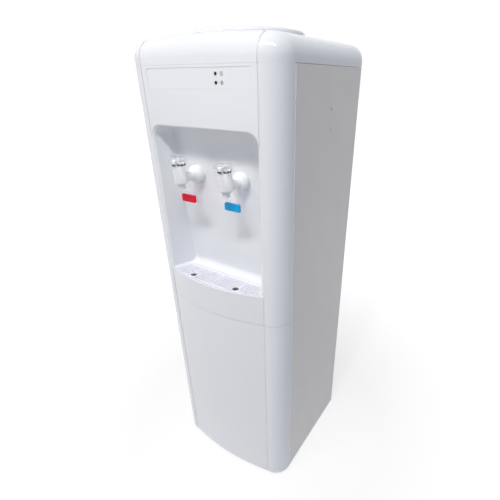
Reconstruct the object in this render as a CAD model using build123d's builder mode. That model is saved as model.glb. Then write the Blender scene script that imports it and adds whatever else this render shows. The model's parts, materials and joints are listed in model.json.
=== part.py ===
from build123d import *
import os

os.makedirs("parts", exist_ok=True)

# Free-standing hot and cold water dispenser for an upturned bottle.
# Millimetres, +Z up, front towards -Y, origin on the floor at the middle of the outline.

# Housing sizes
body_width = 310.0
body_depth = 288.0  # flat front to rear edge
foot_height = 8.0
lower_front_height = 444.0
upper_front_height = 436.0
pillar_depth = 41.0  # flat front to the joint with the steel side
corner_radius = 38.0
wall = 3.0
sheet = 1.0
fold = 14.0  # turned edge of the steel sheets
rear_inset = 22.0  # rear sheet to rear edge, room for the condenser
bay_height = 227.0  # open compressor bay
pan_thickness = 1.5
pan_edge = 20.0
foot_radius = 14.0
foot_inset = 30.0
foot_taper = 8.0

# Top cover and bottle seat sizes
cover_height = 41.0
cover_crown = 5.0  # rise of the top across the width
cover_edge_radius = 30.0
seat_y = 12.0
pad_rise = 0.5
pad_radius = 100.0
collar_radius = 96.0
collar_height = 9.0
collar_round = 4.0
bowl_mouth = 84.0
bowl_depth = 39.0
throat_radius = 29.0
throat_length = 45.0
skirt_radius = 90.0
skirt_depth = 6.0

# Grooves and bow of the front
groove_x = 118.0
groove_width = 2.0
groove_depth = 0.8
bow_half_chord = 115.0
bow_rise_rim = 22.0
bow_rise_seam = 20.0
bow_rise_bottom = 12.0

# Niche, tray and indicator sizes
balcony_height = 62.5  # middle seam to tray rim
niche_height = 281.0
niche_depth = 39.0  # at the tap axis
niche_half_width = 114.5
niche_splay = 0.36  # side walls drawn in over the depth
niche_lean = 0.06  # back wall drawn back towards the tray
niche_flare = 3.0  # eased edge round the mouth
niche_corner = 20.0
niche_back_radius = 3.0
niche_cove = 13.0  # back wall to the tray's ledge
well_depth = 30.0
well_rim = 3.5
well_corner = 14.0
tray_wall = 2.0
grille_thickness = 3.0
grille_ledge = 2.0
slat_pitch = 5.0
slot_width = 1.6
rib_width = 3.0
rib_spacing = 58.0
drain_hole_x = 54.0
drain_hole_back = 4.5  # behind the spouts
drain_hole_radius = 6.5
drain_ring = 2.5
plate_half_width = 106.0
plate_height = 29.0
plate_drop = 4.5  # below the cover seam
plate_thickness = 1.2
plate_recess = 1.5
plate_corner = 3.0
lamp_x = 42.0
lamp_radius = 2.5
lamp_round = 2.2
lamp_stand = 1.2  # lens in front of the flat front
lamp_spacing = 12.0
lamp_flange = 1.0
board_thickness = 1.6
board_length = 48.0
board_height = 24.0
board_post = 18.0  # posts each side of the lamps

# Tap sizes
tap_pitch = 103.0
tap_height = 197.0  # tap inlet axis above the tray rim
spout_reach = 44.5  # niche wall to barrel axis
barrel_radius = 11.5
barrel_above = 23.5
barrel_below = 11.5
spout_radius = 7.0
spout_length = 6.0
spout_bore = 4.0
chamber_radius = 7.5
seat_drop = 6.5  # valve seat below the inlet axis
neck_radius = 8.0
flange_radius = 17.5
flange_ring = 2.0
dome_radius = 15.8
dome_length = 12.5
dome_bulge = 2.2
nose_radius = 11.5
nut_across = 24.0
nut_thickness = 8.0
tail_spare = 4.0
barb_radius = 4.0
barb_length = 14.0
bonnet_radius = 9.5
bonnet_height = 3.5
bonnet_plug = 4.0
stem_radius = 2.8
spring_radius = 5.8
stem_head_radius = 3.5
stem_head_height = 2.5
plunger_height = 7.0
lever_offset = 9.5  # pivot in front of the stem
pivot_rise = 7.0  # pivot above the barrel top
pin_radius = 1.5
lug_width = 8.0
hood_gap = 0.6
hood_wall = 2.0
hood_radius = 13.0
hood_height = 12.5
flute_radius = 1.9
flute_depth = 0.9
flute_count = 14
cheek_margin = 4.0  # round the pivot
cheek_back = 8.0  # behind the barrel axis
fork_thickness = 1.6
fork_drop = 1.3  # below the stem head at rest
fork_room = 1.5  # behind the stem, for the lever's swing
lever_drop = 78.0  # pivot to paddle foot
paddle_y = 18.5  # behind the barrel axis
paddle_height = 17.0
paddle_thickness = 2.5
paddle_lean = 0.35  # slope of the lever's cheeks at the paddle
paddle_margin = 1.0  # beside the tab
tab_width = 32.0
tab_height = 13.5
tab_thickness = 5.0
tab_rise = 1.5
tab_corner = 2.0
tab_round = 1.4

# Water tanks and pipes
tank_wall = 1.5
tank_overlap = 13.5  # throat inside the cold tank
tank_height = 126.0
neck_opening = 37.0
seal_lip = 4.0
seal_flange = 7.0
foam_floor = 14.0
foam_thickness = 9.7
sleeve_thickness = 4.7
sleeve_height = 88.0
hot_tank_radius = 52.0
hot_tank_height = 125.0
hot_tank_y = 20.0
hot_shelf_drop = 182.0  # below the cold shelf
jacket_radius = 66.0
jacket_floor = 12.0
jacket_height = 127.0
heater_thickness = 2.8
heater_height = 36.0
hose_radius = 6.5
pipe_radius = 5.0
pipe_wall = 1.0
bend_radius = 14.0
outlet_inset = 11.5  # outlets inside the cold tank's wall
feed_height = 22.0  # above the hot tank bottom
drain_drop = 30.0  # below the condenser
drain_radius = 9.0
drain_reach = 6.0
cap_radius = 11.0
cap_length = 9.0
shelf_edge = 16.0

# Cooling sizes
compressor_y = 30.0
compressor_radius = 75.0
compressor_height = 150.0
weld_height = 82.0
compressor_seam = 4.0
compressor_round = 32.0
grommet_height = 14.0
grommet_radius = 10.0
grommet_neck = 6.0
grommet_lip = 2.0
leg_x = 92.0
leg_y = 48.0
leg_radius = 14.0
leg_thickness = 3.0
suction_x = 50.0
suction_radius = 4.0
stub_height = 12.0
condenser_foot = 300.0
condenser_runs = 9
condenser_pitch = 58.0
condenser_tube_radius = 2.4
wire_size = 1.6
wire_count = 22
wire_pitch = 9.0
wire_spare = 12.0
turn_radius = 28.0
discharge_x = -40.0
bracket_width = 5.0
bracket_height = 14.0
bracket_wires = 7  # wire pitches from the middle to a bracket
dryer_inset = 24.0  # inside the steel side
dryer_room = 26.0  # beside the condenser
dryer_radius = 8.0
dryer_length = 90.0
dryer_taper = 12.0
thin_radius = 1.5
vent_length = 56.0
vent_height = 4.0
vent_gap = 9.0
vent_drop = 32.0  # middle of the vents below the switches

# Electrical sizes
switch_width = 18.0
switch_height = 28.0
switch_depth = 18.0
switch_pitch = 60.0
switch_drop = 42.0  # centre below the cover seam
rocker_width = 12.0
rocker_radius = 11.0
rocker_sink = 4.0
rocker_tilt = 8.0
bezel = 1.5
gland_inset = 54.0  # inside the steel side
gland_drop = 38.0  # below the condenser
gland_radius = 8.0
gland_bore = 4.0
gland_flange = 3.0

# Screw sizes
screw_head_radius = 2.4
screw_head_height = 1.4
screw_head_round = 1.0
screw_radius = 1.3
screw_length = 6.0
screw_y = 30.5
screw_drops = (65.0, 97.5)  # below the cover seam

# Named clearances
seam_gap = 0.6
fit_gap = 0.3
sheet_gap = 0.2
running_gap = 0.1
tray_gap = 0.5
switch_room = 10.0  # rear switches to the foam
through = 1.0  # how far a cut passes beyond a face

# Places worked out from the sizes
y_bow = -(body_depth + bow_rise_rim) / 2
y_front = y_bow + bow_rise_rim
y_rear = y_front + body_depth
y_joint = y_front + pillar_depth
y_niche = y_front + niche_depth
y_panel = y_rear - rear_inset
side_inner = body_width / 2 - sheet
side_step = (1 + niche_splay**2) ** 0.5
z_bottom = foot_height
z_seam = z_bottom + lower_front_height
z_rim = z_seam + balcony_height
z_well = z_rim - well_depth
z_niche = z_rim + niche_height
z_cover = z_seam + upper_front_height
z_top = z_cover + cover_height
z_pad = z_top + pad_rise
z_collar = z_pad + collar_height
z_bowl = z_collar - bowl_depth
z_throat = z_bowl - throat_length
z_tank_top = z_throat + tank_overlap
z_tank = z_tank_top - tank_height
z_shelf = z_tank - foam_floor
z_hot_shelf = z_shelf - hot_shelf_drop
z_hot = z_hot_shelf + jacket_floor
z_tap = z_rim + tap_height
y_tap = y_niche - spout_reach
tap_x = tap_pitch / 2
hot_x = -tap_x
foam_radius = y_panel - switch_depth - switch_room - seat_y
sleeve_outer = foam_radius - foam_thickness - fit_gap
sleeve_inner = sleeve_outer - sleeve_thickness
sleeve_middle = (sleeve_outer + sleeve_inner) / 2
cold_tank_radius = sleeve_inner - fit_gap
outlet_circle = cold_tank_radius - outlet_inset
cold_outlet_y = seat_y - (outlet_circle**2 - tap_x**2) ** 0.5
feed_x = (outlet_circle**2 - (hot_tank_y - seat_y) ** 2) ** 0.5
suction_y = seat_y + (sleeve_middle**2 - suction_x**2) ** 0.5
dryer_x = side_inner - dryer_inset
condenser_half_width = dryer_x - dryer_room
drain_height = condenser_foot - drain_drop
gland_x = side_inner - gland_inset
gland_height = condenser_foot - gland_drop


def keep(piece, name):
    """Label a finished piece and write it out."""
    piece.part.label = name
    export_step(piece.part, f"parts/{name}.step")


def upright(x, y):
    """Plane through an upright axis: local X is the radius, local Y the height."""
    return Plane(origin=(x, y, 0), x_dir=(1, 0, 0), z_dir=(0, -1, 0))


def turn(x, y, *outline, mode=Mode.ADD):
    """Revolve a closed outline of (radius, height) points about the upright axis at x, y."""
    with BuildSketch(upright(x, y)) as profile:
        with BuildLine():
            Polyline(*outline, close=True)
        make_face()
    revolve(profile.sketch, axis=Axis((x, y, 0), (0, 0, 1)), mode=mode)


def rod(centre, axis, radius, length, mode=Mode.ADD):
    """Round bar of a length, from a centre point along an axis."""
    with BuildSketch(Plane(origin=centre, z_dir=axis)) as section:
        Circle(radius)
    extrude(section.sketch, amount=length, mode=mode)


def drill(centre, axis, radius, length):
    """Round hole of a length, from a centre point along an axis."""
    rod(centre, axis, radius, length, Mode.SUBTRACT)


def tube(points, bends, radius, bore):
    """Pipe of straight runs and round bends through the points."""
    with BuildLine() as path:
        FilletPolyline(*points, radius=bends)
    start = Vector(*points[0])
    with BuildSketch(Plane(origin=start, z_dir=Vector(*points[1]) - start)) as section:
        Circle(radius)
        Circle(bore, mode=Mode.SUBTRACT)
    sweep(section.sketch, path=path.wires()[0])


def front_plan(inset):
    """Plan of the front mouldings, drawn in by inset on the front and the sides."""
    with BuildSketch() as plan:
        with Locations((0, y_front + inset)):
            Rectangle(
                body_width - 2 * inset, pillar_depth - inset - seam_gap, align=(Align.CENTER, Align.MIN)
            )
        fillet(plan.vertices().group_by(Axis.Y)[0], corner_radius - inset)
    return plan.sketch


def bow_plan(rise, inset=0.0):
    """Plan of the bow that stands out of the flat front."""
    half = bow_half_chord - inset
    chord_y = y_front + inset
    with BuildSketch() as plan:
        with BuildLine():
            ThreePointArc((-half, chord_y), (0, chord_y - rise), (half, chord_y))
            Line((half, chord_y), (-half, chord_y))
        make_face()
    return plan.sketch


def niche_half(y, grow):
    """Half width of the niche at a depth, between its splayed side walls."""
    return niche_half_width + grow * side_step - niche_splay * (y - y_front)


def niche_back(z, grow):
    """Depth of the niche's leaning back wall at a height."""
    return y_niche + grow + niche_lean * (z_tap - z)


def well_plan(inset):
    """Plan of the tray well: bowed in front, sides along the niche, rounded corners at the back."""
    back = y_niche - well_rim - inset
    half = niche_half(y_front, -well_rim - inset)
    back_half = niche_half(back, -well_rim - inset)
    with BuildSketch() as plan:
        with BuildLine():
            ThreePointArc((-half, y_front), (0, y_bow + well_rim + inset), (half, y_front))
            Polyline((half, y_front), (back_half, back), (-back_half, back), (-half, y_front))
        make_face()
        fillet(plan.vertices().group_by(Axis.Y)[-1], well_corner - inset)
    return plan.sketch


def niche_block(grow, floor, start):
    """Niche as a block from a floor up and from a start plane back, grown by a wall."""
    top = z_niche + grow
    deep = niche_back(floor, grow)
    half = niche_half(start, grow)
    deep_half = niche_half(deep, grow)
    with BuildPart() as block:
        with BuildSketch(Plane.XY.offset(floor)):
            with BuildLine():
                Polyline((-half, start), (half, start), (deep_half, deep), (-deep_half, deep), close=True)
            make_face()
        extrude(amount=top - floor)
        with BuildSketch(Plane.YZ):
            with BuildLine():
                Polyline((deep, floor), (niche_back(top, grow), top), (deep, top), close=True)
            make_face()
        extrude(amount=half, both=True, mode=Mode.SUBTRACT)
        ceiling = block.faces().sort_by(Axis.Z)[-1].edges().sort_by(Axis.X)
        fillet([ceiling[0], ceiling[-1]], niche_corner + grow)
        foot_edge = block.faces().sort_by(Axis.Y)[-1].edges().sort_by(Axis.Z)[0]
        fillet(foot_edge, niche_cove)
        back_edges = block.faces().sort_by(Axis.Y)[-1].edges().sort_by(Axis.Z)[1:]
        fillet(back_edges, niche_back_radius + grow)
    return block.part


def mouth_outline(y, grow):
    """Outline of the niche at a depth, grown at the sides and the top."""
    with BuildSketch(Plane.XZ.offset(-y)) as outline:
        with Locations((0, z_rim)):
            Rectangle(2 * (niche_half(y, 0) + grow), niche_height + grow, align=(Align.CENTER, Align.MIN))
        fillet(outline.vertices().group_by(Axis.Y)[-1], niche_corner + grow)
    return outline.sketch


def cover_block(inset):
    """Crowned cover block with rounded top edges, drawn in by inset."""
    half = body_width / 2 - inset
    side_top = z_top - cover_crown - inset
    with BuildPart() as block:
        with BuildSketch(Plane.XZ.offset(-y_front - inset)):
            with BuildLine():
                Polyline((-half, side_top), (-half, z_cover), (half, z_cover), (half, side_top))
                ThreePointArc((half, side_top), (0, z_top - inset), (-half, side_top))
            make_face()
        extrude(amount=2 * inset - body_depth)
        fillet(block.edges().filter_by(Axis.Z).group_by(Axis.Y)[0], corner_radius - inset)
        top_edges = block.faces().sort_by(Axis.Z)[-1].edges().sort_by(Axis.Y)[:-1]
        fillet(top_edges, cover_edge_radius - inset)
    return block.part


def cut_grooves(low, high):
    """Cut the two upright grooves into the flat front between two heights."""
    with BuildSketch(Plane.XY.offset(low)) as grooves:
        with Locations((-groove_x, y_front), (groove_x, y_front)):
            Rectangle(groove_width, 2 * groove_depth)
    extrude(grooves.sketch, amount=high - low, mode=Mode.SUBTRACT)


# Lower front: rounded pillars and a bowed middle that leans back towards the floor
lower_top = z_seam - seam_gap
with BuildPart() as lower_front_panel:
    with BuildSketch(Plane.XY.offset(z_bottom)):
        add(front_plan(0))
        add(front_plan(wall), mode=Mode.SUBTRACT)
    extrude(amount=lower_top - z_bottom)
    with BuildSketch(Plane.XY.offset(z_bottom)):
        add(bow_plan(bow_rise_bottom))
    with BuildSketch(Plane.XY.offset(lower_top)):
        add(bow_plan(bow_rise_seam))
    loft()
    with BuildSketch(Plane.XY.offset(z_bottom)):
        add(bow_plan(bow_rise_bottom, wall))
    with BuildSketch(Plane.XY.offset(lower_top)):
        add(bow_plan(bow_rise_seam, wall))
    loft(mode=Mode.SUBTRACT)
    cut_grooves(z_bottom, lower_top)
keep(lower_front_panel, "lower_front_panel")

# Upper front: pillars, bowed balcony with the tray well, niche, inlay recess, lamp and tap holes
upper_top = z_cover - seam_gap
niche_shell = niche_block(wall, z_well - wall, y_front)
niche_space = niche_block(0, z_rim, y_front - through)
mouth_front = mouth_outline(y_front - through, niche_flare + through)
mouth_inside = mouth_outline(y_front + 2 * niche_flare, -niche_flare)
plate_z = z_cover - plate_drop - plate_height / 2
lamp_zs = (plate_z + lamp_spacing / 2, plate_z - lamp_spacing / 2)
lamp_hole = lamp_radius + running_gap
tap_hole = neck_radius + fit_gap
tap_seat = flange_radius + fit_gap
with BuildPart() as upper_front_panel:
    with BuildSketch(Plane.XY.offset(z_seam)):
        add(front_plan(0))
        add(front_plan(wall), mode=Mode.SUBTRACT)
    extrude(amount=upper_top - z_seam)
    with BuildSketch(Plane.XY.offset(z_seam)):
        add(bow_plan(bow_rise_seam))
    with BuildSketch(Plane.XY.offset(z_rim)):
        add(bow_plan(bow_rise_rim))
    loft()
    add(niche_shell)
    with BuildSketch(Plane.XY.offset(z_seam)):
        add(bow_plan(bow_rise_seam, wall))
    with BuildSketch(Plane.XY.offset(z_well - wall)):
        add(bow_plan(bow_rise_seam, wall))
    loft(mode=Mode.SUBTRACT)
    add(niche_space, mode=Mode.SUBTRACT)
    loft((mouth_front, mouth_inside), mode=Mode.SUBTRACT)
    with BuildSketch(Plane.XY.offset(z_well)):
        add(well_plan(0))
    extrude(amount=well_depth, mode=Mode.SUBTRACT)
    cut_grooves(z_seam, z_rim)
    cut_grooves(z_niche - niche_corner, upper_top)
    with BuildSketch(Plane.XZ.offset(-y_front)):
        with Locations((0, plate_z)):
            RectangleRounded(2 * plate_half_width, plate_height, plate_corner)
    extrude(amount=-plate_recess, mode=Mode.SUBTRACT)
    for lamp_z in lamp_zs:
        drill((lamp_x, y_front, lamp_z), (0, 1, 0), lamp_hole, wall)
    for x in (hot_x, tap_x):
        rod((x, y_niche, z_tap), (0, 1, 0), tap_seat, wall)
        drill((x, y_niche, z_tap), (0, -1, 0), tap_seat, wall)
        drill((x, y_niche + wall, z_tap), (0, 1, 0), tap_seat, wall)
        drill((x, y_niche - through, z_tap), (0, 1, 0), tap_hole, wall + 2 * through)
keep(upper_front_panel, "upper_front_panel")

# Top cover: crowned shell with the grooves carried over it and a flat pad for the bottle seat
cover_outer = cover_block(0)
cover_middle = cover_block(groove_depth)
cover_inner = cover_block(wall)
seat_hole = skirt_radius + fit_gap
with BuildPart() as top_cover:
    add(cover_outer)
    with Locations((-groove_x, 0, z_cover), (groove_x, 0, z_cover)):
        Box(groove_width, 2 * body_depth, 2 * cover_height, mode=Mode.SUBTRACT)
    add(cover_middle)
    rod((0, seat_y, z_top - cover_crown), (0, 0, 1), pad_radius, cover_crown + pad_rise)
    add(cover_inner, mode=Mode.SUBTRACT)
    drill((0, seat_y, z_cover), (0, 0, 1), seat_hole, 2 * cover_height)
keep(top_cover, "top_cover")

# Bottle seat: collar, sloping bowl, skirt in the cover's hole and throat for the bottle's neck
with BuildPart() as bottle_seat:
    turn(
        0, seat_y,
        (collar_radius, z_pad), (collar_radius, z_collar), (bowl_mouth, z_collar),
        (throat_radius, z_bowl), (throat_radius, z_throat), (throat_radius + wall, z_throat),
        (throat_radius + wall, z_bowl - sheet), (skirt_radius - wall, z_pad),
        (skirt_radius - wall, z_pad - skirt_depth), (skirt_radius, z_pad - skirt_depth),
        (skirt_radius, z_pad),
    )
    fillet(bottle_seat.edges().filter_by(GeomType.CIRCLE).group_by(Axis.Z)[-1], collar_round)
keep(bottle_seat, "bottle_seat")

# Seal between the throat and the cold tank's opening
throat_outer = throat_radius + wall
with BuildPart() as seat_seal:
    turn(
        0, seat_y,
        (throat_outer + fit_gap, z_tank_top - seal_lip), (neck_opening - fit_gap, z_tank_top - seal_lip),
        (neck_opening - fit_gap, z_tank_top), (neck_opening + seal_flange, z_tank_top),
        (neck_opening + seal_flange, z_tank_top + seal_lip), (throat_outer + fit_gap, z_tank_top + seal_lip),
    )
keep(seat_seal, "seat_seal")

# Steel sides, each a folded sheet with an edge turned in at the front and the rear
for name, hand in (("side_panel_left", -1), ("side_panel_right", 1)):
    outer_x = hand * body_width / 2
    with BuildPart() as side_panel:
        with BuildSketch(Plane.XY.offset(z_bottom)):
            with BuildLine():
                Polyline(
                    (outer_x - hand * fold, y_joint), (outer_x, y_joint), (outer_x, y_rear),
                    (outer_x - hand * fold, y_rear), (outer_x - hand * fold, y_rear - sheet),
                    (outer_x - hand * sheet, y_rear - sheet), (outer_x - hand * sheet, y_joint + sheet),
                    (outer_x - hand * fold, y_joint + sheet), close=True,
                )
            make_face()
        extrude(amount=upper_top - z_bottom)
        for drop in screw_drops:
            hole_start = (outer_x + hand * through, screw_y, z_cover - drop)
            drill(hole_start, (-hand, 0, 0), screw_radius + running_gap, sheet + 2 * through)
    keep(side_panel, name)

# Screws in the steel sides
with BuildPart() as side_screws:
    for hand in (-1, 1):
        for drop in screw_drops:
            face = (hand * body_width / 2, screw_y, z_cover - drop)
            rod(face, (hand, 0, 0), screw_head_radius, screw_head_height)
            rod(face, (-hand, 0, 0), screw_radius, screw_length)
    heads = side_screws.edges().filter_by(GeomType.CIRCLE)
    fillet(heads.group_by(Axis.X)[0] + heads.group_by(Axis.X)[-1], screw_head_round)
keep(side_screws, "side_screws")

# Base pan with turned-up edges, standing on four feet
pan_front = y_joint + sheet + sheet_gap
pan_rear = y_rear - sheet - sheet_gap
pan_middle = (pan_front + pan_rear) / 2
pan_width = 2 * (side_inner - sheet_gap)
pan_length = pan_rear - pan_front
z_pan = z_bottom + pan_thickness
with BuildPart() as base_pan:
    with BuildSketch(Plane.XY.offset(z_bottom)):
        with Locations((0, pan_middle)):
            Rectangle(pan_width, pan_length)
    extrude(amount=pan_edge)
    with BuildSketch(Plane.XY.offset(z_pan)):
        with Locations((0, pan_middle)):
            Rectangle(pan_width - 2 * pan_thickness, pan_length - 2 * pan_thickness)
    extrude(amount=pan_edge, mode=Mode.SUBTRACT)
keep(base_pan, "base_pan")

with BuildPart() as feet:
    with BuildSketch():
        with Locations((0, pan_middle)):
            with GridLocations(pan_width - 2 * foot_inset, pan_length - 2 * foot_inset, 2, 2):
                Circle(foot_radius)
    extrude(amount=foot_height, taper=foot_taper)
keep(feet, "feet")

# Inlaid indicator plate, two lamps and the board behind them
with BuildPart() as indicator_plate:
    with BuildSketch(Plane.XZ.offset(-y_front - plate_recess)):
        with Locations((0, plate_z)):
            RectangleRounded(2 * (plate_half_width - sheet_gap), plate_height - 2 * sheet_gap, plate_corner)
        with Locations([(lamp_x, lamp_z) for lamp_z in lamp_zs]):
            Circle(lamp_hole, mode=Mode.SUBTRACT)
    extrude(amount=plate_thickness)
keep(indicator_plate, "indicator_plate")

y_inner = y_front + wall
for name, lamp_z in zip(("hot_lamp", "cold_lamp"), lamp_zs):
    with BuildPart() as lamp:
        rod((lamp_x, y_inner, lamp_z), (0, -1, 0), lamp_radius, wall + lamp_stand)
        fillet(lamp.faces().sort_by(Axis.Y)[0].edges(), lamp_round)
        rod((lamp_x, y_inner, lamp_z), (0, 1, 0), lamp_radius + lamp_flange, 2 * lamp_flange)
    keep(lamp, name)

with BuildPart() as lamp_board:
    with BuildSketch(Plane.XZ.offset(-y_inner - 2 * lamp_flange)):
        with Locations((lamp_x, plate_z)):
            Rectangle(board_length, board_height)
    extrude(amount=-board_thickness)
    for x in (lamp_x - board_post, lamp_x + board_post):
        rod((x, y_inner, plate_z), (0, 1, 0), lamp_radius, 2 * lamp_flange)
keep(lamp_board, "lamp_board")

# Drip tray: pan in the well, with a ledge for the grille
grille_inset = tray_gap + tray_wall
with BuildPart() as drip_tray:
    with BuildSketch(Plane.XY.offset(z_well)):
        add(well_plan(tray_gap))
    extrude(amount=well_depth)
    with BuildSketch(Plane.XY.offset(z_well + tray_wall)):
        add(well_plan(grille_inset + grille_ledge))
    extrude(amount=well_depth, mode=Mode.SUBTRACT)
    with BuildSketch(Plane.XY.offset(z_rim - grille_thickness)):
        add(well_plan(grille_inset))
    extrude(amount=grille_thickness, mode=Mode.SUBTRACT)
keep(drip_tray, "drip_tray")

# Drip grille: slats along the width, three ribs across them and two ringed drain holes
grille_edge = grille_inset + fit_gap
slat_rows = int((y_niche - y_bow) / slat_pitch)
grille_middle = (y_niche + y_bow) / 2
drain_hole_y = y_tap + drain_hole_back
drain_holes = ((-drain_hole_x, drain_hole_y), (drain_hole_x, drain_hole_y))
with BuildPart() as drip_grille:
    with BuildSketch(Plane.XY.offset(z_rim - grille_thickness)):
        add(well_plan(grille_edge))
    extrude(amount=grille_thickness)
    with BuildSketch(Plane.XY.offset(z_rim - grille_thickness)):
        with Locations((0, grille_middle)):
            with GridLocations(0, slat_pitch, 1, slat_rows):
                Rectangle(body_width, slot_width)
            with GridLocations(rib_spacing, 0, 3, 1):
                Rectangle(rib_width, body_width, mode=Mode.SUBTRACT)
        with Locations(*drain_holes):
            Circle(drain_hole_radius + drain_ring, mode=Mode.SUBTRACT)
    extrude(amount=grille_thickness, mode=Mode.SUBTRACT)
    with BuildSketch(Plane.XY.offset(z_rim - grille_thickness)):
        add(well_plan(grille_edge))
        add(well_plan(grille_edge + rib_width), mode=Mode.SUBTRACT)
    extrude(amount=grille_thickness)
    for hole in drain_holes:
        drill((*hole, z_rim - grille_thickness), (0, 0, 1), drain_hole_radius, grille_thickness)
keep(drip_grille, "drip_grille")

# Push taps: hot on the left, cold on the right
z_barrel_top = z_tap + barrel_above
z_barrel_foot = z_tap - barrel_below
z_spout = z_barrel_foot - spout_length
z_valve = z_tap - seat_drop
z_plug = z_barrel_top - bonnet_plug
z_bonnet = z_barrel_top + bonnet_height
z_pivot = z_barrel_top + pivot_rise
y_pivot = y_tap - lever_offset
z_hood = z_bonnet + hood_gap
z_fork = z_pivot + fork_thickness
z_head = z_fork + fork_drop
z_foot = z_pivot - lever_drop
tail_length = spout_reach + wall + nut_thickness + tail_spare
y_tail = y_tap + tail_length
y_dome = y_niche - flange_ring
y_nose = y_dome - dome_length
y_bulge = (y_dome + y_nose) / 2 - dome_bulge / 2
z_collar_in = z_tap + neck_radius + running_gap
z_nose = z_tap + nose_radius
z_ring = z_tap + flange_radius
z_dome = z_tap + dome_radius
z_bulge = (z_dome + z_nose) / 2 + dome_bulge
z_cheek = z_pivot + cheek_margin
z_slot = z_pivot + 2 * pin_radius + hood_gap
y_cheek = y_pivot - cheek_margin
cheek_in = barrel_radius + hood_gap
cheek_out = cheek_in + hood_wall
flute_offset = flute_radius - flute_depth
y_paddle = y_tap + paddle_y
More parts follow.
